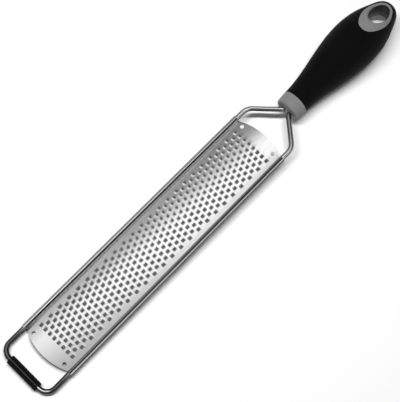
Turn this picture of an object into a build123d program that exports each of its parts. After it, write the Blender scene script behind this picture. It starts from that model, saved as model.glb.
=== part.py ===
from build123d import *
import os
from math import asin, atan2, degrees, sqrt, tan

# A rasp zester. One bent steel rod makes the frame, a perforated sheet is rolled round its rails,
# a rubber sleeve sits on the toe bar, and a two-shot handle is moulded over the rod's tails.
#
# All sizes are in millimetres. While the pieces are built, X runs from the toe bar to the handle's
# end, Y across the tool, Z up out of the grating face, and the rod's centre line lies in z = 0.
# At the end the whole tool is tipped to the attitude in which it rests on a worktop.

# Frame rod, bent once round the toe and twice on each side towards the handle
rod_diameter = 3.5
rail_spacing = 40.6
toe_bend_radius = 7.0
shoulder_place = 221.6
shoulder_run = 15.7
shoulder_bend_radius = 9.0
neck_bend_radius = 3.2
tail_spacing = 5.6
tail_length = 56.0

# Rasp sheet, crowned across its width and rolled round both rails
sheet_thickness = 0.4
sheet_length = 200.6
sheet_toe_gap = 15.2
end_bow = 4.0
crown_radius = 94.0
roll_clearance = 0.05
roll_turn = 305

# Square holes in rows that take turns between eight and one fewer, each with a raised cutting edge
hole_side = 2.0
hole_spacing = 4.0
row_spacing = 4.0
row_count = 45
holes_in_long_row = 8
tooth_height = 0.3
tooth_root = 0.2

# Pilot holes that held the sheet while it was etched
pilot_diameter = 2.8
pilot_spacing = 27.6
pilot_inset = 5.6

# Rubber foot on the toe bar
foot_diameter = 6.1
foot_length = 24.6
foot_slit = 0.6
foot_clearance = 0.05

# Handle: a hard core that shows as the collar and the hang ring, and a soft grip between them
handle_length = 106.5
collar_length = 8.7
collar_mouth_width = 17.6
collar_width = 19.0
collar_rim_radius = 1.5
belly_width = 34.5
flatness_share = 0.9
grip_thickness = 2.6
spine_corner_radius = 2.0
tail_clearance = 0.02

# Points along the grip: place as a share of the handle's length, width as a share of the belly's
grip_shares = [(0.27, 0.675), (0.465, 0.905), (0.645, 1.0), (0.79, 0.885), (0.907, 0.632)]
belly_share = 0.645

# Hang ring and its hole, placed back from the handle's end. Both are ovals drawn with four arcs
ring_inset = 19.2
ring_length = 30.0
ring_width = 18.4
hang_hole_inset = 15.2
hang_hole_length = 17.6
hang_hole_width = 11.2
hang_hole_draft = 4
oval_end_share = 0.72
hang_rim_chamfer = 0.8

# One overrun for everything that cuts right through
overrun = 1.0

# Worked out from the sizes above
rod_radius = rod_diameter / 2
rail_y = rail_spacing / 2
tail_y = tail_spacing / 2
neck_place = shoulder_place + shoulder_run
shoulder_lean = atan2(rail_y - tail_y, shoulder_run)
handle_place = neck_place + neck_bend_radius * tan(shoulder_lean / 2)
handle_end = handle_place + handle_length
roll_inside = rod_radius + roll_clearance
roll_outside = roll_inside + sheet_thickness
crown_centre_z = -sqrt((crown_radius + roll_inside) ** 2 - rail_y**2)
sheet_centre = sheet_toe_gap + sheet_length / 2
sheet_half_width = rail_y + roll_outside
flat_width = hole_spacing / 2
flat_edges = [(flat - holes_in_long_row + 0.5) * flat_width for flat in range(2 * holes_in_long_row)]
belly_place = handle_place + belly_share * handle_length
rest_tilt = degrees(atan2(belly_width / 2 * flatness_share - foot_diameter / 2, belly_place))


def frame_rod():
    """The rod runs from one tail round the toe and back to the other tail."""
    tail_end = handle_place + tail_length
    half = [(tail_end, tail_y), (neck_place, tail_y), (shoulder_place, rail_y), (0, rail_y)]
    route = half + [(x, -y) for x, y in reversed(half)]
    bends = [neck_bend_radius, shoulder_bend_radius, toe_bend_radius]
    path = FilletPolyline(*route, radius=bends + bends[::-1])
    section = Plane(path @ 0, z_dir=path % 0) * Circle(rod_radius)
    return sweep(section, path=path)


def crown_height(y, radius):
    """Height of a crown of this radius above the rod's centre line, at y across the tool."""
    return crown_centre_z + sqrt(radius**2 - y**2)


def crown_line(radius):
    """One face of the crown: a narrow flat for each column of holes, and an arc to each rail."""
    lean = asin(rail_y / (crown_radius + roll_inside))
    flats = Polyline(*[(y, crown_height(y, radius)) for y in flat_edges])
    rest = degrees(lean - asin(flat_edges[-1] / radius))
    margin = CenterArc((0, crown_centre_z), radius, 90 - degrees(lean), rest)
    return [flats, margin, mirror(margin, about=Plane.YZ)]


def sheet_section():
    """The crown's two faces, joined at each rail by a roll that comes up round its outside."""
    lean = degrees(asin(rail_y / (crown_radius + roll_inside)))
    inside = CenterArc((rail_y, 0), roll_inside, -90 - lean, roll_turn)
    outside = CenterArc((rail_y, 0), roll_outside, -90 - lean, roll_turn)
    roll = [inside, outside, Line(inside @ 1, outside @ 1)]
    other_roll = [mirror(edge, about=Plane.YZ) for edge in roll]
    crown = crown_line(crown_radius) + crown_line(crown_radius - sheet_thickness)
    return make_face(crown + roll + other_roll)


def hole_places():
    """Centres of the holes, row by row from the toe."""
    places = []
    for row in range(row_count):
        x = sheet_centre + (row - (row_count - 1) / 2) * row_spacing
        holes = holes_in_long_row - row % 2
        places += [(x, (hole - (holes - 1) / 2) * hole_spacing) for hole in range(holes)]
    return places


def sheet_plan():
    """Outline of the sheet seen from above, with bowed ends, square holes and pilot holes."""
    half_length = sheet_length / 2
    seam = half_length - end_bow
    bow_y = rail_y - roll_outside
    wide = sheet_half_width + overrun
    side = Polyline((seam, bow_y), (seam, wide), (-seam, wide), (-seam, bow_y))
    bow = ThreePointArc((-seam, bow_y), (-half_length, 0), (-seam, -bow_y))
    outline = make_face([side, mirror(side, about=Plane.XZ), bow, mirror(bow, about=Plane.YZ)])
    holes = [Pos(x, y) * Rectangle(hole_side, hole_side) for x, y in hole_places()]
    pilots = GridLocations(sheet_length - 2 * pilot_inset, pilot_spacing, 2, 2)
    holes += [Pos(sheet_centre, 0) * place * Circle(pilot_diameter / 2) for place in pilots]
    return Pos(sheet_centre, 0) * outline - holes


def tooth(y):
    """Raised edge on the handle side of a hole at x = 0: a short ramp that faces the toe."""
    first, last = y - flat_width / 2, y + flat_width / 2
    base, far = crown_height(first, crown_radius), crown_height(last, crown_radius)
    edge = hole_side / 2
    front, back = edge - tooth_root, row_spacing - edge
    top = [(front, tooth_height), (edge, tooth_height), (back, 0)]
    outline = [(front, -tooth_root)] + top + [(back, -tooth_root)]
    profile = make_face(Polyline(*[(x, z + base) for x, z in outline], close=True))
    across = Vector(0, last - first, far - base)
    return extrude(Plane.XZ.offset(-first) * profile, amount=across.length, dir=across)


def rasp_sheet():
    """The rolled section carries the teeth, and the plan outline cuts it to shape."""
    start = sheet_toe_gap - overrun
    rolled = extrude(Plane.YZ.offset(start) * sheet_section(), amount=sheet_length + 2 * overrun)
    columns = {y: tooth(y) for y in {y for x, y in hole_places()}}
    teeth = [Pos(x, 0) * columns[y] for x, y in hole_places()]
    cutter = extrude(Pos(0, 0, -sheet_half_width) * sheet_plan(), amount=2 * sheet_half_width)
    return (rolled + teeth) & cutter


def rubber_foot():
    """A sleeve pushed over the toe bar, slit along its top."""
    ring = Circle(foot_diameter / 2) - Circle(rod_radius + foot_clearance)
    tube = extrude(Plane.XZ * ring, amount=foot_length / 2, both=True)
    slit = Pos(0, 0, foot_diameter / 2) * Box(foot_slit, foot_length + overrun, foot_diameter)
    return tube - slit


def pressed(outline):
    """Turns an outline about the handle's axis and presses the result to its oval section."""
    return Pos(handle_place, 0) * scale(revolve(outline, axis=Axis.X), by=(1, 1, flatness_share))


def collar_outline():
    """Half the collar's length section, with its rim rounded at the mouth."""
    mouth = (0, collar_mouth_width / 2)
    boundary = (collar_length, collar_width / 2)
    outline = make_face(Polyline((0, 0), mouth, boundary, (collar_length, 0), close=True))
    rim = outline.vertices().group_by(Axis.X)[0].sort_by(Axis.Y)[-1]
    return fillet(rim, collar_rim_radius)


def back_outline():
    """Half the length section of the handle behind its collar."""
    boundary = (collar_length, collar_width / 2)
    end = (handle_length, 0)
    points = [(place * handle_length, width * belly_width / 2) for place, width in grip_shares]
    back = Spline(boundary, *points, end, tangents=[(1, 0), (0, -1)])
    return make_face([back, Polyline(end, (collar_length, 0), boundary)])


def spine():
    """The bar inside the grip that joins the collar to the ring and holds the rod's tails."""
    width = collar_width - 2 * grip_thickness
    height = collar_width * flatness_share - 2 * grip_thickness
    start = handle_place + collar_length
    land = handle_end - ring_inset - ring_length / 2 + grip_thickness
    section = Plane.YZ.offset(start) * RectangleRounded(width, height, spine_corner_radius)
    return extrude(section, amount=land - start)


def oval(length, width):
    """A draughtsman's oval: an arc at each end and a flatter arc along each side, all tangent."""
    end_radius = oval_end_share * width / 2
    end_x = length / 2 - end_radius
    side_radius = (end_x**2 + (width / 2) ** 2 - end_radius**2) / (width - 2 * end_radius)
    lean = degrees(atan2(side_radius - width / 2, end_x))
    end = CenterArc((end_x, 0), end_radius, -lean, 2 * lean)
    side = CenterArc((0, width / 2 - side_radius), side_radius, lean, 180 - 2 * lean)
    return make_face([end, side, mirror(end, about=Plane.YZ), mirror(side, about=Plane.XZ)])


def ring_plug():
    """The oval that bounds the hang ring, from below the handle to above it."""
    outline = oval(ring_length, ring_width)
    return Pos(handle_end - ring_inset, 0, -belly_width / 2) * extrude(outline, amount=belly_width)


def hang_hole():
    """An oval hole with draft both ways from its waist, halfway through the handle."""
    waist = oval(hang_hole_length, hang_hole_width)
    half = extrude(waist, amount=belly_width / 2, taper=-hang_hole_draft)
    return Pos(handle_end - hang_hole_inset, 0) * (half + mirror(half, about=Plane.XY))


def hang_ring():
    """The part of the handle inside the oval, with a chamfer at each mouth of its hole."""
    blank = pressed(back_outline()) & ring_plug()
    hole = hang_hole()
    ring = blank - hole
    return chamfer(new_edges(blank, hole, combined=ring), hang_rim_chamfer)


def tail_sockets():
    """Blind holes in the core for the rod's two tails."""
    circle = Circle(rod_radius + tail_clearance)
    mouths = Sketch() + [Pos(y, 0) * circle for y in (-tail_y, tail_y)]
    return extrude(Plane.YZ.offset(handle_place) * mouths, amount=tail_length + tail_clearance)


def handle_core():
    """Collar, spine and hang ring in one moulding, with a socket for each tail of the rod."""
    return pressed(collar_outline()) + spine() + hang_ring() - tail_sockets()


def soft_grip():
    """The overmould fills the handle's shape round the spine, between the collar and the ring."""
    return pressed(back_outline()) - spine() - ring_plug()


pieces = {
    "frame_rod": frame_rod(),
    "rasp_sheet": rasp_sheet(),
    "rubber_foot": rubber_foot(),
    "handle_core": handle_core(),
    "soft_grip": soft_grip(),
}

# The tool rests on its foot and its belly, and the origin is the middle of its box, on the worktop
resting = {name: Rot(Y=-rest_tilt) * piece for name, piece in pieces.items()}
box = Compound(list(resting.values())).bounding_box()
to_origin = Pos(-box.center().X, -box.center().Y, -box.min.Z)

os.makedirs("parts", exist_ok=True)
for name, piece in resting.items():
    node = to_origin * piece
    node.label = name
    export_step(node, f"parts/{name}.step")
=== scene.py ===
# %% [markdown]
# # A rasp zester on a white table
#
# A rasp zester is a long kitchen grater. Its frame is one bent steel rod, its grating face is a
# thin steel sheet rolled round that rod, its foot is a rubber sleeve, and its handle is a grey
# plastic core under a soft black grip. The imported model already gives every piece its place, so
# this lesson adds what a photograph shows: the fine sheet, the finishes, the light and the camera.

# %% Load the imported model
from math import asin, atan2, cos, degrees, pi, radians, sin, sqrt

import bmesh
import bpy
from mathutils import Matrix, Vector


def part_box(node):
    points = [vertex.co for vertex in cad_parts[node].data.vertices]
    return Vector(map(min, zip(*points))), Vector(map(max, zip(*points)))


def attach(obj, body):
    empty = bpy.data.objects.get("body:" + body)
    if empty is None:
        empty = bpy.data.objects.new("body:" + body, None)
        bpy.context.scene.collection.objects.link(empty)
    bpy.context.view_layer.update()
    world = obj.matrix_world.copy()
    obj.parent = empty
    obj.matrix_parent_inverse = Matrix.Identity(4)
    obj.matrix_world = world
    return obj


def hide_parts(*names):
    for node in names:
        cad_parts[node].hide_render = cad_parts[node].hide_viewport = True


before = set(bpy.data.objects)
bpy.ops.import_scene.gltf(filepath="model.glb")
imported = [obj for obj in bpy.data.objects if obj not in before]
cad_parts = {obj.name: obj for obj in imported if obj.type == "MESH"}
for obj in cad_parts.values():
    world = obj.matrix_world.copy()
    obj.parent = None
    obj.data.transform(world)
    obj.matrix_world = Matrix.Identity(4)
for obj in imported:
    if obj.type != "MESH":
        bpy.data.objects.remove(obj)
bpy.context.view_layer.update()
print("nodes:", sorted(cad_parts))

# %% [markdown]
# ## The tool's own axes
#
# The tool rests on its foot and on the belly of its handle, so it lies a little nose down. Shapes
# are easier to write along the tool itself: x from the toe bar to the handle, y across, z out of
# the grating face, in millimetres. One matrix then turns such a shape into the model's frame. Its
# place comes from the foot, and its tilt from the height of the rod's far ends.

# %% Find the tool's own axes
MM = 0.001
ROD_RADIUS = 1.75
FOOT_RADIUS = 3.05

foot_low, foot_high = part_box("rubber_foot")
rod_low, rod_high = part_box("frame_rod")
toe_bar = Vector(((foot_low.x + foot_high.x) / 2, 0, foot_low.z + FOOT_RADIUS * MM))
tail_rise = rod_high.z - ROD_RADIUS * MM - toe_bar.z
tilt = atan2(tail_rise, rod_high.x - toe_bar.x)
lying = Matrix.Translation(toe_bar) @ Matrix.Rotation(-tilt, 4, "Y")
to_model = lying @ Matrix.Scale(MM, 4)
print("the tool lies nose down by", round(degrees(tilt), 2), "degrees")

# %% [markdown]
# ## The camera
#
# The photograph looks almost straight down, with the tool running from the lower left to the
# upper right. The camera's place and turn were worked out from the lattice of holes in the sheet:
# it has a known pitch, so its perspective fixes where the camera stood. They are written in the
# tool's own axes and then turned by the same matrix.

# %% Place the camera
IMAGE_HEIGHT_PX = 402
FOCAL_LENGTH_PX = 930.8
SENSOR_WIDTH = 36
CAMERA_PLACE = Vector((34.4, -116.4, 577.65))
CAMERA_ELEVATION = 74
CAMERA_TURN = -46.18

camera_data = bpy.data.cameras.new("camera")
camera_data.sensor_width = SENSOR_WIDTH
camera_data.lens = SENSOR_WIDTH * FOCAL_LENGTH_PX / IMAGE_HEIGHT_PX
camera = bpy.data.objects.new("camera", camera_data)
aim = Matrix.Rotation(radians(CAMERA_TURN), 4, "Z")
aim = aim @ Matrix.Rotation(radians(90 - CAMERA_ELEVATION), 4, "X")
stand = Matrix.Translation(lying @ (CAMERA_PLACE * MM))
camera.matrix_world = stand @ lying.to_3x3().to_4x4() @ aim
bpy.context.scene.collection.objects.link(camera)
bpy.context.scene.camera = camera
bpy.context.scene.view_settings.view_transform = "Standard"
print("lens", round(camera_data.lens, 1), "mm")

# %% [markdown]
# ## Writing materials as sums
#
# A material is a graph of small nodes, and a graph is slow to read as a list of links. One class
# wraps a socket so that ordinary operators add the Math nodes, and one method adds every other
# kind of node: first its settings, then the values or links of its sockets.

# %% A socket that can be used in sums
class Wire:
    """An output socket. Operators on it add Math nodes to its tree."""

    def __init__(self, tree, socket):
        self.tree = tree
        self.socket = socket

    def math(self, operation, *others):
        node = self.tree.nodes.new("ShaderNodeMath")
        node.operation = operation
        for place, value in zip(node.inputs, others):
            connect(self.tree, place, value)
        return Wire(self.tree, node.outputs[0])

    def __add__(self, other):
        return self.math("ADD", self, other)

    def __radd__(self, other):
        return self.math("ADD", other, self)

    def __sub__(self, other):
        return self.math("SUBTRACT", self, other)

    def __rsub__(self, other):
        return self.math("SUBTRACT", other, self)

    def __mul__(self, other):
        return self.math("MULTIPLY", self, other)

    def __rmul__(self, other):
        return self.math("MULTIPLY", other, self)

    def __truediv__(self, other):
        return self.math("DIVIDE", self, other)

    def step(self, start, end):
        """0 before start, 1 after end, and a smooth change between them."""
        node = self.tree.nodes.new("ShaderNodeMapRange")
        node.interpolation_type = "SMOOTHSTEP"
        for name, value in (("Value", self), ("From Min", start), ("From Max", end)):
            connect(self.tree, node.inputs[name], value)
        return Wire(self.tree, node.outputs[0])


def connect(tree, place, value):
    """Links a wire to an input socket, or sets a plain value on it."""
    if isinstance(value, Wire):
        tree.links.new(value.socket, place)
    else:
        place.default_value = value


# %% A recipe: the node tree of one material, lamp or world
class Recipe:
    def __init__(self, tree):
        self.tree = tree
        tree.nodes.clear()

    def add(self, kind, settings=None, inputs=None, output=0):
        """Adds one node, with its settings and inputs, and returns one of its outputs."""
        node = self.tree.nodes.new(kind)
        for name, value in (settings or {}).items():
            setattr(node, name, value)
        for name, value in (inputs or {}).items():
            connect(self.tree, node.inputs[name], value)
        return Wire(self.tree, node.outputs[output]) if node.outputs else node

    def part_of(self, vector, axis):
        """One part of a vector: X, Y or Z."""
        split = self.tree.nodes.new("ShaderNodeSeparateXYZ")
        connect(self.tree, split.inputs[0], vector)
        return Wire(self.tree, split.outputs[axis])

    def mix_colours(self, factor, first, second):
        inputs = {0: factor, 6: first, 7: second}
        return self.add("ShaderNodeMix", {"data_type": "RGBA"}, inputs, 2)

    def finish(self, shader, kind="Material"):
        self.add(f"ShaderNodeOutput{kind}", None, {"Surface": shader})


def grey(level):
    return (level, level, level, 1)


def new_material(name):
    material = bpy.data.materials.new(name)
    material.use_nodes = True
    return material, Recipe(material.node_tree)


print("recipes ready")

# %% [markdown]
# ## Light
#
# Bright metal shows what surrounds it, so the surroundings matter more than the metal's colour.
# The photograph was taken in a tent of light: a large softbox nearly overhead, a dim grey studio
# round it, a dark band lower down, which darkens the flanks of the rods, and lit walls near the
# table. The world shader paints these for reflections, as the place where a ray meets a level one
# unit overhead. Camera rays see plain white, and diffuse light gets an even, dim fill.
#
# The softbox has slanted edges, and the sheet shows them as the edges of its bright field. A dark
# card hangs past its corner at the toe and the right. A bright card stands far out on the right
# and draws the thin bright line along the right rail.

# %% The studio round the tool
# Each edge is a pair: where the change starts and where it ends.
SOFTBOX_LEVEL = 1.5
SOFTBOX_LEFT, LEFT_SLANT = (0.39, 0.57), 0.9
SOFTBOX_TOE, TOE_SLANT = (-0.16, 0.2), 2.7
SOFTBOX_RIGHT, RIGHT_SLANT = (-0.5, -0.3), 0.7
SOFTBOX_HANDLE = (0.34, 0.62)
STUDIO_LEVEL, STUDIO_FALL = 0.6, 1.6
STUDIO_DARKEST, STUDIO_BRIGHTEST = 0.21, 0.5
TOE_CARD_LEVEL = 0.06
TOE_CARD_EDGE = (-0.3, -0.1)
SIDE_CARD_LEVEL = 1.6
SIDE_CARD_FAR, SIDE_CARD_NEAR = (-2.9, -2.5), (-1.7, -1.4)
SIDE_CARD_TOE, SIDE_CARD_HANDLE = (-1.2, -0.8), (1.2, 1.6)
OVERHEAD = (0.54, 0.72)
BAND_LEVEL = 0.2
WALL_LEVEL = 0.35
WALL_TOP = (0.15, 0.3)
FILL_LEVEL = 0.11
LOWEST_RAY = 0.05

world = bpy.data.worlds.new("studio")
world.use_nodes = True
bpy.context.scene.world = world
studio = Recipe(world.node_tree)
rays = studio.add("ShaderNodeLightPath").socket.node
seen_by_camera = Wire(world.node_tree, rays.outputs["Is Camera Ray"])
seen_in_gloss = Wire(world.node_tree, rays.outputs["Is Glossy Ray"])
direction = studio.add("ShaderNodeTexCoord")
split = studio.add("ShaderNodeSeparateXYZ", None, {0: direction}).socket.node
towards_x = Wire(world.node_tree, split.outputs["X"])
towards_y = Wire(world.node_tree, split.outputs["Y"])
upwards = Wire(world.node_tree, split.outputs["Z"])
height = upwards.math("MAXIMUM", upwards, LOWEST_RAY)
along = towards_x / height
across = towards_y / height

left_edge = 1 - (across + LEFT_SLANT * along).step(*SOFTBOX_LEFT)
toe_edge = (across + TOE_SLANT * along).step(*SOFTBOX_TOE)
right_edge = (across - RIGHT_SLANT * along).step(*SOFTBOX_RIGHT)
handle_edge = 1 - along.step(*SOFTBOX_HANDLE)
softbox = left_edge * toe_edge * right_edge * handle_edge
grey_studio = STUDIO_LEVEL - STUDIO_FALL * along
grey_studio = grey_studio.math("MAXIMUM", grey_studio, STUDIO_DARKEST)
grey_studio = grey_studio.math("MINIMUM", grey_studio, STUDIO_BRIGHTEST)
toe_card = (1 - along.step(*TOE_CARD_EDGE)) * (1 - across.step(*TOE_CARD_EDGE))
grey_studio = grey_studio + toe_card * (TOE_CARD_LEVEL - grey_studio)
lit_studio = grey_studio + softbox * (SOFTBOX_LEVEL - grey_studio)
walls = 1 - upwards.step(*WALL_TOP)
around = BAND_LEVEL + walls * (WALL_LEVEL - BAND_LEVEL)
reflected = around + upwards.step(*OVERHEAD) * (lit_studio - around)
side_card = across.step(*SIDE_CARD_FAR) * (1 - across.step(*SIDE_CARD_NEAR))
side_card = side_card * along.step(*SIDE_CARD_TOE) * (1 - along.step(*SIDE_CARD_HANDLE))
reflected = reflected + side_card * (SIDE_CARD_LEVEL - reflected)
level = FILL_LEVEL + seen_in_gloss * (reflected - FILL_LEVEL)
level = level + seen_by_camera * (1 - level)
background = studio.add("ShaderNodeBackground", None, {"Color": grey(1), "Strength": level})
studio.finish(background, "World")
print("softbox", SOFTBOX_LEVEL, "and dark band", BAND_LEVEL)

# %% [markdown]
# The shadows tell the lamp's shape. The left shoulder of the rod, which lies level in the picture,
# throws a sharp dark shadow, and the right shoulder, which stands upright in it, only a faint one.
# So the main light is a long strip that lies level in the picture too, and it hangs nearly over
# the shoulders. It is close, so its light comes at the toe from the handle's side.

# %% The strip lamp over the shoulders
STRIP_HEIGHT = 700
STRIP_LENGTH = 620
STRIP_WIDTH = 70
STRIP_PLACE = Vector((165, 70, STRIP_HEIGHT))
STRIP_POWER = 6.1

strip_data = bpy.data.lights.new("strip_lamp", "AREA")
strip_data.shape = "RECTANGLE"
strip_data.size = STRIP_LENGTH * MM
strip_data.size_y = STRIP_WIDTH * MM
strip_data.energy = STRIP_POWER
strip = bpy.data.objects.new("strip_lamp", strip_data)
strip_turn = Matrix.Rotation(radians(CAMERA_TURN), 4, "Z")
strip.matrix_world = Matrix.Translation(lying @ (STRIP_PLACE * MM)) @ strip_turn
strip.visible_glossy = False
bpy.context.scene.collection.objects.link(strip)
print("strip lamp", STRIP_POWER, "W")

# %% [markdown]
# ## The table
#
# The table is a plain white sheet that only has to do two things: look as white as the photograph's
# background, and take the tool's soft shadows. A part of its white comes from its own colour, and
# a small part from a glow that the camera and the steel's reflections can see. The glow grows far
# from the tool, where the strip's light fades. Between the rails, where the steel stands close over
# the table, a soft painted shade deepens the shadow that shows through the holes. Near the handle
# and the left rail the photograph's holes are lighter, so a patch of the glow lies under them.

# %% The white table
# The places are in metres, and each edge is a pair: where the change starts and where it ends.
TABLE_HALF = 3.0
TABLE_GREY = 0.93
NEAR_GLOW = 0.03
FAR_GLOW = 0.97
GLOW_GROWS = (0.18, 0.42)
SHADE_GREY = 0.38
SHADE_TOE_ARC, ARC_BOW = (-0.159, -0.1555), 12.2
SHADE_HANDLE = (0.036, 0.041)
SHADE_RIGHT, SHADE_LEFT = (-0.0195, -0.0165), (0.0105, 0.0165)
PATCH_GLOW = 0.7
PATCH_TOE, PATCH_HANDLE = (-0.12, -0.02), (0.042, 0.045)
PATCH_RIGHT, PATCH_LEFT = (-0.006, 0.012), (0.018, 0.0195)

table_mesh = bpy.data.meshes.new("table")
corners = [(x * TABLE_HALF, y * TABLE_HALF, 0) for x, y in ((-1, -1), (1, -1), (1, 1), (-1, 1))]
table_mesh.from_pydata(corners, [], [(0, 1, 2, 3)])
table = bpy.data.objects.new("table", table_mesh)
bpy.context.scene.collection.objects.link(table)
table_white, recipe = new_material("table_white")
rays = recipe.add("ShaderNodeLightPath").socket.node
camera_ray, glossy_ray, transmission_ray = [
    Wire(recipe.tree, rays.outputs[name])
    for name in ("Is Camera Ray", "Is Glossy Ray", "Is Transmission Ray")
]
spot = recipe.add("ShaderNodeNewGeometry")
along = recipe.part_of(spot, "X")
across = recipe.part_of(spot, "Y")
toe_arc = (along - ARC_BOW * across * across).step(*SHADE_TOE_ARC)
handle_side = 1 - along.step(*SHADE_HANDLE)
between_rails = across.step(*SHADE_RIGHT) * (1 - across.step(*SHADE_LEFT))
shaded = toe_arc * handle_side * between_rails
colour = recipe.mix_colours(shaded, grey(TABLE_GREY), grey(SHADE_GREY))
paint = recipe.add("ShaderNodeBsdfDiffuse", None, {"Color": colour})
glow = recipe.add("ShaderNodeEmission", None, {"Color": grey(1), "Strength": 1.0})
from_middle = recipe.add("ShaderNodeVectorMath", {"operation": "LENGTH"}, {0: spot}, 1)
share = NEAR_GLOW + from_middle.step(*GLOW_GROWS) * (FAR_GLOW - NEAR_GLOW)
patch = along.step(*PATCH_TOE) * (1 - along.step(*PATCH_HANDLE))
patch = patch * across.step(*PATCH_RIGHT) * (1 - across.step(*PATCH_LEFT))
share = share + PATCH_GLOW * patch
share = share * (camera_ray + glossy_ray + transmission_ray)
recipe.finish(recipe.add("ShaderNodeMixShader", None, {0: share, 1: paint, 2: glow}))
table_mesh.materials.append(table_white)

# %% [markdown]
# ## Finishes
#
# Six finishes cover the tool. Each starts from the shader's plain values and adds the small
# unevenness that the real surface has: brushing along the sheet, draw lines along the rod, a fine
# spark-eroded grain on the moulded plastic and a soft mottle on the rubber.

# %% Helpers for finishes
def place_in_tool(recipe):
    """Positions on the surface, which stay with the piece."""
    return recipe.add("ShaderNodeTexCoord", None, None, 3)


def noise(recipe, where, scale, stretch=(1, 1, 1)):
    """Noise with this many grains to a metre, drawn out by the stretch."""
    stretched = recipe.add("ShaderNodeMapping", None, {"Vector": where, "Scale": stretch})
    inputs = {"Vector": stretched, "Scale": scale, "Detail": 3.0}
    return recipe.add("ShaderNodeTexNoise", None, inputs)


def principled(recipe, inputs):
    recipe.finish(recipe.add("ShaderNodeBsdfPrincipled", None, inputs))


def bump(recipe, height, strength, depth):
    inputs = {"Height": height, "Strength": strength, "Distance": depth}
    return recipe.add("ShaderNodeBump", None, inputs)


def facing_up(recipe):
    """The upward share of the surface's normal: 1 on top, 0 on a wall, -1 underneath."""
    normal = recipe.add("ShaderNodeTexCoord", None, None, 1)
    return recipe.part_of(normal, "Z")


# %% Brushed steel of the sheet
# Each roll ends on top of its rod, and a painted line of shade runs along that edge. The rolls'
# flanks get painted shade.
EDGE_LEFT = 0.0196
EDGE_RIGHT = -0.0204
EDGE_REACH = 0.0007


def near_roll_edge(recipe, where):
    """Mask of the painted shade line: 1 along the free edge of each roll and 0 away from it."""
    across = recipe.part_of(where, "Y")
    from_left = across.math("ABSOLUTE", across - EDGE_LEFT)
    from_right = across.math("ABSOLUTE", across - EDGE_RIGHT)
    return 1 - from_left.math("MINIMUM", from_left, from_right).step(0.5 * EDGE_REACH, EDGE_REACH)


sheet_steel, recipe = new_material("brushed_sheet_steel")
where = place_in_tool(recipe)
brushing = noise(recipe, where, 900, (0.03, 1, 1))
cloud = noise(recipe, where, 25)
steel = recipe.mix_colours(0.25 * brushing + 0.15 * cloud, grey(0.82), grey(0.66))
# Painted shade: where the surface turns away from the top, as on the rolls' flanks, it is coloured
# dark.
steel = recipe.mix_colours(facing_up(recipe).step(0.58, 0.9), grey(0.07), steel)
principled(
    recipe,
    {
        # Painted shade: a dark line along each roll's free edge.
        "Base Color": recipe.mix_colours(near_roll_edge(recipe, where), steel, grey(0.02)),
        "Metallic": 1.0,
        "Roughness": 0.2 + 0.08 * brushing,
        "Normal": bump(recipe, brushing, 0.12, 0.0001),
    },
)

# %% Dull steel of the sheet's back
sheet_back, recipe = new_material("dull_sheet_back")
where = place_in_tool(recipe)
etching = noise(recipe, where, 400)
principled(
    recipe,
    {
        "Base Color": recipe.mix_colours(etching, grey(0.26), grey(0.38)),
        "Metallic": 1.0,
        "Roughness": 0.45 + 0.15 * etching,
        "Normal": bump(recipe, etching, 0.2, 0.0001),
    },
)

# %% Drawn steel of the rod
# The rod's flanks are painted dark and its top is left bright: painted shade and a painted
# highlight that stand for the dark band and the softbox it reflects.
# The whole toe end is darker, with a painted highlight along its top and a painted glint beside the
# foot. The right shoulder gets painted shade. Inside the rolls the flanks' painted shade is
# lighter, most on the left rail, and a painted line of shade runs along each roll's free edge.
SEAM_START = -0.1515
SEAM_END = 0.0405
SEAM_FADE = 0.001
TOE_TONE_ENDS = (-0.16, -0.138)
GLINT_ALONG, GLINT_ACROSS = (-0.1685, -0.1665), (-0.0125, -0.0115)
SHOULDER_SHADE_ALONG, SHOULDER_SHADE_ACROSS = (0.046, 0.056), (-0.003, 0.0)
LEFT_HALF = (-0.003, 0.003)

rod_steel, recipe = new_material("drawn_rod_steel")
where = place_in_tool(recipe)
along = recipe.part_of(where, "X")
across = recipe.part_of(where, "Y")
up = facing_up(recipe)
draw_lines = noise(recipe, where, 700, (0.05, 1, 1))
in_rolls = along.step(SEAM_START, SEAM_START + SEAM_FADE)
in_rolls = in_rolls - along.step(SEAM_END - SEAM_FADE, SEAM_END)
# The toe end is darker, with a painted highlight along its top.
toe_tone = recipe.mix_colours(up.step(0.9, 0.99), grey(0.035), grey(0.13))
# A painted glint on the top of the toe bar beside the foot.
painted_glint = (1 - along.step(*GLINT_ALONG)) * (1 - across.step(*GLINT_ACROSS))
toe_tone = recipe.mix_colours(painted_glint * up.step(0.94, 0.985), toe_tone, grey(0.9))
steel = recipe.mix_colours(0.3 * draw_lines, grey(0.74), grey(0.56))
steel = recipe.mix_colours(along.step(*TOE_TONE_ENDS), toe_tone, steel)
# Painted shade on the right shoulder.
shoulder_shade = along.step(*SHOULDER_SHADE_ALONG) * (1 - across.step(*SHOULDER_SHADE_ACROSS))
steel = recipe.mix_colours(shoulder_shade, steel, grey(0.28))
# Painted shade and highlight: flanks coloured dark, the top keeps the steel's colour; inside the
# rolls the shade is lighter, most on the left.
lit_top = up.step(0.5, 0.9)
unshaded_share = lit_top.math("MAXIMUM", lit_top, (0.4 + 0.5 * across.step(*LEFT_HALF)) * in_rolls)
steel = recipe.mix_colours(unshaded_share, grey(0.07), steel)
# Painted shade along each roll's free edge, where the rod lies inside a roll.
edge_shade = in_rolls * near_roll_edge(recipe, where)
principled(
    recipe,
    {
        "Base Color": recipe.mix_colours(edge_shade, steel, grey(0.05)),
        "Metallic": 1.0,
        "Roughness": 0.1 + 0.08 * draw_lines,
        "Normal": bump(recipe, draw_lines, 0.08, 0.0001),
    },
)

# %% Grey plastic of the core
# The upright wall of the hang hole, past the ring's start, is coloured nearly black.
RING_START = 0.14

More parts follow.
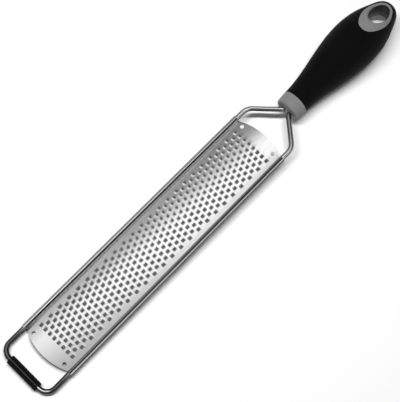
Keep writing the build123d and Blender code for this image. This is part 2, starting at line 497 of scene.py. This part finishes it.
core_plastic, recipe = new_material("grey_core_plastic")
where = place_in_tool(recipe)
grain = noise(recipe, where, 2500)
cloud = noise(recipe, where, 60)
in_ring = recipe.part_of(where, "X").step(RING_START - 0.001, RING_START)
upright = 1 - facing_up(recipe).step(0.1, 0.35)
shell = recipe.mix_colours(0.3 * cloud, grey(0.2), grey(0.17))
principled(
    recipe,
    {
        "Base Color": recipe.mix_colours(in_ring * upright, shell, grey(0.045)),
        "Roughness": 0.5 + 0.1 * grain,
        "Specular IOR Level": 0.3,
        "Normal": bump(recipe, grain, 0.2, 0.0001),
    },
)

# %% Soft black rubber of the grip
grip_rubber, recipe = new_material("black_grip_rubber")
where = place_in_tool(recipe)
grain = noise(recipe, where, 1800)
mottle = noise(recipe, where, 90)
principled(
    recipe,
    {
        "Base Color": recipe.mix_colours(mottle, grey(0.002), grey(0.004)),
        "Roughness": 0.6 + 0.1 * grain,
        "Specular IOR Level": 0.08,
        "Normal": bump(recipe, grain, 0.25, 0.0001),
    },
)

# %% Black rubber of the foot
foot_rubber, recipe = new_material("black_foot_rubber")
where = place_in_tool(recipe)
grain = noise(recipe, where, 2200)
principled(
    recipe,
    {
        "Base Color": recipe.mix_colours(grain, grey(0.003), grey(0.006)),
        "Roughness": 0.6 + 0.1 * grain,
        "Specular IOR Level": 0.12,
        "Normal": bump(recipe, grain, 0.3, 0.0001),
    },
)

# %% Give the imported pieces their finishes
finishes = {
    "frame_rod": rod_steel,
    "rubber_foot": foot_rubber,
    "handle_core": core_plastic,
    "soft_grip": grip_rubber,
}
for node, finish in finishes.items():
    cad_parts[node].data.materials.clear()
    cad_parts[node].data.materials.append(finish)
print("finished:", sorted(finishes))

# %% [markdown]
# ## The rasp sheet
#
# The grating face starts life as a flat blank: rows of square holes are etched through it, then it
# is bowed across its width and its long edges are rolled round the rails. The same two steps make
# the mesh here. The blank is a grid whose lines run along every hole's sides, so a hole is a block
# of cells left out. Then one function bends the whole grid, and a second skin under it and a
# wall along every free edge give the steel its thickness.
#
# The handle side of each hole is a tooth. The blank rises a little there, and a thin tongue leans
# out from it over the hole. The tongues are the small light dots in the photograph's left columns.

# %% Sizes of the blank, in millimetres
RAIL_Y = 20.3
SHEET_THICKNESS = 0.4
SHEET_LENGTH = 200.6
SHEET_TOE_GAP = 15.2
END_BOW = 4.0
CROWN_RADIUS = 94.0
ROLL_INSIDE = ROD_RADIUS + 0.05
ROLL_TURN = radians(205)
ROLL_STEPS = 26
HOLE_SIDE = 2.2
CORNER_RADIUS = 0.25
ROW_PITCH = 4.0
ROW_COUNT = 45
COLUMN_PITCH = 2.0
COLUMN_COUNT = 15
TOOTH_HEIGHT = 0.2
TOOTH_RUN = 0.6
TONGUE_LENGTH = 1.3
TONGUE_RISE = 0.25
TONGUE_THICKNESS = 0.12
TONGUE_STEPS = 4
TONGUE_TAPER = 0.85
TONGUE_SIDE_GAP = 0.02
TONGUE_ROOT = 0.1
TONGUE_SINK = 0.03
PILOT_RADIUS = 1.4
PILOT_Y = 13.8
PILOT_INSET = 5.6
PILOT_BLOCK = (1.5, 1.8)
END_STEPS = 3

sheet_centre = SHEET_TOE_GAP + SHEET_LENGTH / 2
seam_half = SHEET_LENGTH / 2 - END_BOW
bow_y = RAIL_Y - ROLL_INSIDE - SHEET_THICKNESS
roll_lean = asin(RAIL_Y / (CROWN_RADIUS + ROLL_INSIDE))
contact_y = CROWN_RADIUS * sin(roll_lean)
crown_centre_z = -sqrt((CROWN_RADIUS + ROLL_INSIDE) ** 2 - RAIL_Y**2)
roll_middle = ROLL_INSIDE + SHEET_THICKNESS / 2
half = HOLE_SIDE / 2
last_row = (ROW_COUNT - 1) / 2 * ROW_PITCH
last_column = (COLUMN_COUNT - 1) / 2 * COLUMN_PITCH
last_pilot = SHEET_LENGTH / 2 - PILOT_INSET
hole_centres = [
    (row * ROW_PITCH - last_row, column * COLUMN_PITCH - last_column)
    for row in range(ROW_COUNT)
    for column in range(row % 2, COLUMN_COUNT, 2)
]
print(len(hole_centres), "holes")

# %% The grid's lines
def hole_lines(middle):
    """The lines of one hole: its two sides, the ends of its round corners and its middle."""
    first, last = middle - half, middle + half
    return [first, first + CORNER_RADIUS, middle, last - CORNER_RADIUS, last]


def lines_along():
    """Places along the sheet, from its centre: every row, its teeth and the plain ends."""
    lines = []
    for row in range(ROW_COUNT):
        middle = row * ROW_PITCH - last_row
        lines += hole_lines(middle)
        lines += [middle + half + TOOTH_RUN * part / 3 for part in (1, 2, 3)]
    plain = [last_pilot + shift for shift in (-PILOT_BLOCK[0], -0.5, 0.5, PILOT_BLOCK[0])]
    lines += [-last_row - ROW_PITCH / 2] + plain + [-place for place in plain]
    return sorted(lines)


def lines_across():
    """Places across the blank: every column, the margins and the rolls."""
    lines = [last_column + half]
    for column in range(COLUMN_COUNT):
        lines += hole_lines(column * COLUMN_PITCH - last_column)[:-1]
    side = [PILOT_Y + PILOT_BLOCK[1], 16.7, 17.6, bow_y, 19.2, contact_y]
    roll_length = roll_middle * ROLL_TURN
    side += [contact_y + roll_length * (step + 1) / ROLL_STEPS for step in range(ROLL_STEPS)]
    return sorted(lines + side + [-place for place in side])


print(len(lines_along()), "lines along and", len(lines_across()), "across")

# %% Cut the blank
def rounded_square(dx, dy):
    """Where a point on the hole's square goes when its corners are rounded."""
    straight = half - CORNER_RADIUS
    over_x, over_y = abs(dx) - straight, abs(dy) - straight
    if min(over_x, over_y) <= 1e-6:
        return dx, dy
    shrink = CORNER_RADIUS / sqrt(over_x**2 + over_y**2)
    new_x = (straight + over_x * shrink) * (1 if dx > 0 else -1)
    new_y = (straight + over_y * shrink) * (1 if dy > 0 else -1)
    return new_x, new_y


def round_hole(dx, dy):
    """Where a point on the block round a pilot hole goes to lie on its circle."""
    reach = sqrt(dx**2 + dy**2)
    return dx * PILOT_RADIUS / reach, dy * PILOT_RADIUS / reach


def index_near(lines, place):
    return min(range(len(lines)), key=lambda i: abs(lines[i] - place))


def end_place(across):
    """Half length of the sheet here: its ends bow out between the rolls."""
    share = min(abs(across) / bow_y, 1)
    return seam_half + END_BOW * (1 - share**2)


def cut_blank():
    """Points (along, across) of the flat blank and its faces, with the holes left out."""
    along_lines, across_lines = lines_along(), lines_across()
    count = len(across_lines)
    points = []
    for along in along_lines:
        points += [(along, across) for across in across_lines]
    first, last = along_lines[0], along_lines[-1]
    rows = list(range(len(along_lines)))
    for step in range(1, END_STEPS + 1):
        share = step / END_STEPS
        rows.append(len(points) // count)
        points += [(last + (end_place(across) - last) * share, across) for across in across_lines]
        rows.insert(0, len(points) // count)
        points += [(first - (end_place(across) + first) * share, across) for across in across_lines]
    left_out, rings = set(), []

    def leave_out(centre_along, centre_across, reach_along, reach_across, shape):
        i0, i1 = [index_near(along_lines, centre_along + s * reach_along) for s in (-1, 1)]
        j0, j1 = [index_near(across_lines, centre_across + s * reach_across) for s in (-1, 1)]
        for i in range(i0, i1):
            left_out.update((i + END_STEPS, j) for j in range(j0, j1))
        loop = [(i, j0) for i in range(i0, i1)] + [(i1, j) for j in range(j0, j1)]
        loop += [(i, j1) for i in range(i1, i0, -1)] + [(i0, j) for j in range(j1, j0, -1)]
        rings.append(([i * count + j for i, j in loop], centre_along, centre_across, shape))

    for along, across in hole_centres:
        leave_out(along, across, half, half, rounded_square)
    for along in (-last_pilot, last_pilot):
        for across in (-PILOT_Y, PILOT_Y):
            leave_out(along, across, *PILOT_BLOCK, round_hole)

    faces = []
    for i in range(len(rows) - 1):
        a, b = rows[i] * count, rows[i + 1] * count
        kept = [j for j in range(count - 1) if (i, j) not in left_out]
        faces += [(a + j, b + j, b + j + 1, a + j + 1) for j in kept]
    for loop, centre_along, centre_across, shape in rings:
        rim = []
        for index in loop:
            dx, dy = points[index][0] - centre_along, points[index][1] - centre_across
            new_dx, new_dy = shape(dx, dy)
            if abs(new_dx - dx) + abs(new_dy - dy) < 1e-6:
                rim.append(index)
            else:
                rim.append(len(points))
                points.append((centre_along + new_dx, centre_across + new_dy))
        for k in range(len(loop)):
            corner = [loop[k - 1], loop[k], rim[k], rim[k - 1]]
            corner = [p for n, p in enumerate(corner) if p not in corner[:n]]
            if len(corner) > 2:
                faces.append(tuple(corner))
    return points, faces


blank_points, blank_faces = cut_blank()
print("the blank has", len(blank_points), "points and", len(blank_faces), "faces")

# %% Bend the blank
def tooth_lift(along, across):
    """Height of the teeth: each rises at the handle side of a hole and falls away behind it."""
    row = int((along + last_row - half + 0.01) // ROW_PITCH)
    behind = along + last_row - half - row * ROW_PITCH
    if not 0 <= row < ROW_COUNT or behind > TOOTH_RUN:
        return 0
    shift = last_column - (row % 2) * COLUMN_PITCH
    place = (across + shift) / (2 * COLUMN_PITCH)
    aside = abs(place - round(place)) * 2 * COLUMN_PITCH
    if aside > half - 0.01 or not 0 <= round(place) <= (COLUMN_COUNT - 1) // 2 - row % 2:
        return 0
    return TOOTH_HEIGHT * (1 - max(behind, 0) / TOOTH_RUN) ** 2


def on_crown(along, across, height):
    """A point over the crowned part of the sheet."""
    lean = asin(across / CROWN_RADIUS)
    reach = CROWN_RADIUS + height
    return sheet_centre + along, reach * sin(lean), crown_centre_z + reach * cos(lean)


def bend(along, across, depth):
    """Where a point of the blank, this deep under its upper face, ends up in the bent sheet."""
    side = 1 if across >= 0 else -1
    x = sheet_centre + along
    if abs(across) <= contact_y:
        return on_crown(along, across, tooth_lift(along, across) - depth)
    turn = (abs(across) - contact_y) / roll_middle - pi / 2 - roll_lean
    reach = ROLL_INSIDE + depth
    return x, side * (RAIL_Y + reach * cos(turn)), reach * sin(turn)


def thick_sheet(points, faces):
    """Both skins of the bent sheet, and a wall along each edge that only one face uses."""
    count = len(points)
    solid_points = [bend(a, c, 0) for a, c in points]
    solid_points += [bend(a, c, SHEET_THICKNESS) for a, c in points]
    solid_faces = list(faces) + [tuple(count + p for p in reversed(face)) for face in faces]
    edges = {}
    for face in faces:
        for k in range(len(face)):
            edges[(face[k - 1], face[k])] = True
    free = [(a, b) for a, b in edges if (b, a) not in edges]
    solid_faces += [(b, a, count + a, count + b) for a, b in free]
    finish_of = [0] * len(faces)
    finish_of += [int(all(abs(points[p][1]) <= contact_y + 0.01 for p in face)) for face in faces]
    finish_of += [1] * len(free)
    return solid_points, solid_faces, finish_of


def add_tongues(points, faces, finish_of):
    """The lip of each tooth: a tongue that leans out over its hole and narrows to a round tip."""
    for along, across in hole_centres:
        root = along + half + TONGUE_ROOT
        first = len(points)
        for step in range(TONGUE_STEPS + 1):
            share = step / TONGUE_STEPS
            place = root - (TONGUE_LENGTH + TONGUE_ROOT) * share
            reach = (half - TONGUE_SIDE_GAP) * sqrt(1 - (TONGUE_TAPER * share) ** 2)
            top = TOOTH_HEIGHT - TONGUE_SINK + TONGUE_RISE * share
            for height in (top, top - TONGUE_THICKNESS):
                points += [on_crown(place, across + side * reach, height) for side in (-1, 0, 1)]
        for step in range(TONGUE_STEPS + 1):
            a = first + 6 * step
            if step < TONGUE_STEPS:
                faces += [(a + k, a + k + 1, a + k + 7, a + k + 6) for k in (0, 1)]
                faces += [(a + k + 1, a + k, a + k + 6, a + k + 7) for k in (3, 4)]
                faces += [(a, a + 6, a + 9, a + 3), (a + 2, a + 5, a + 11, a + 8)]
            if step in (0, TONGUE_STEPS):
                faces += [(a, a + 1, a + 4, a + 3), (a + 1, a + 2, a + 5, a + 4)]
    finish_of += [1] * (len(faces) - len(finish_of))


def add_piece(name, points, faces, finish_of, finishes, slot, sharp_angle=35):
    """A mesh piece written in the tool's own axes, put in its place and tied to the model."""
    mesh = bpy.data.meshes.new(name)
    mesh.from_pydata(points, [], faces)
    mesh.transform(to_model)
    for finish in finishes:
        mesh.materials.append(finish)
    mesh.polygons.foreach_set("material_index", finish_of)
    tidy = bmesh.new()
    tidy.from_mesh(mesh)
    bmesh.ops.delete(tidy, geom=[v for v in tidy.verts if not v.link_faces], context="VERTS")
    bmesh.ops.recalc_face_normals(tidy, faces=tidy.faces)
    tidy.to_mesh(mesh)
    tidy.free()
    mesh.shade_smooth()
    mesh.set_sharp_from_angle(angle=radians(sharp_angle))
    piece = bpy.data.objects.new(name, mesh)
    bpy.context.scene.collection.objects.link(piece)
    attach(piece, "root")
    print(name, "has", len(mesh.polygons), "faces")
    return piece


sheet_shape = thick_sheet(blank_points, blank_faces)
add_tongues(*sheet_shape)
sheet = add_piece("grating_sheet", *sheet_shape, [sheet_steel, sheet_back], "sheet_steel")
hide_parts("rasp_sheet")
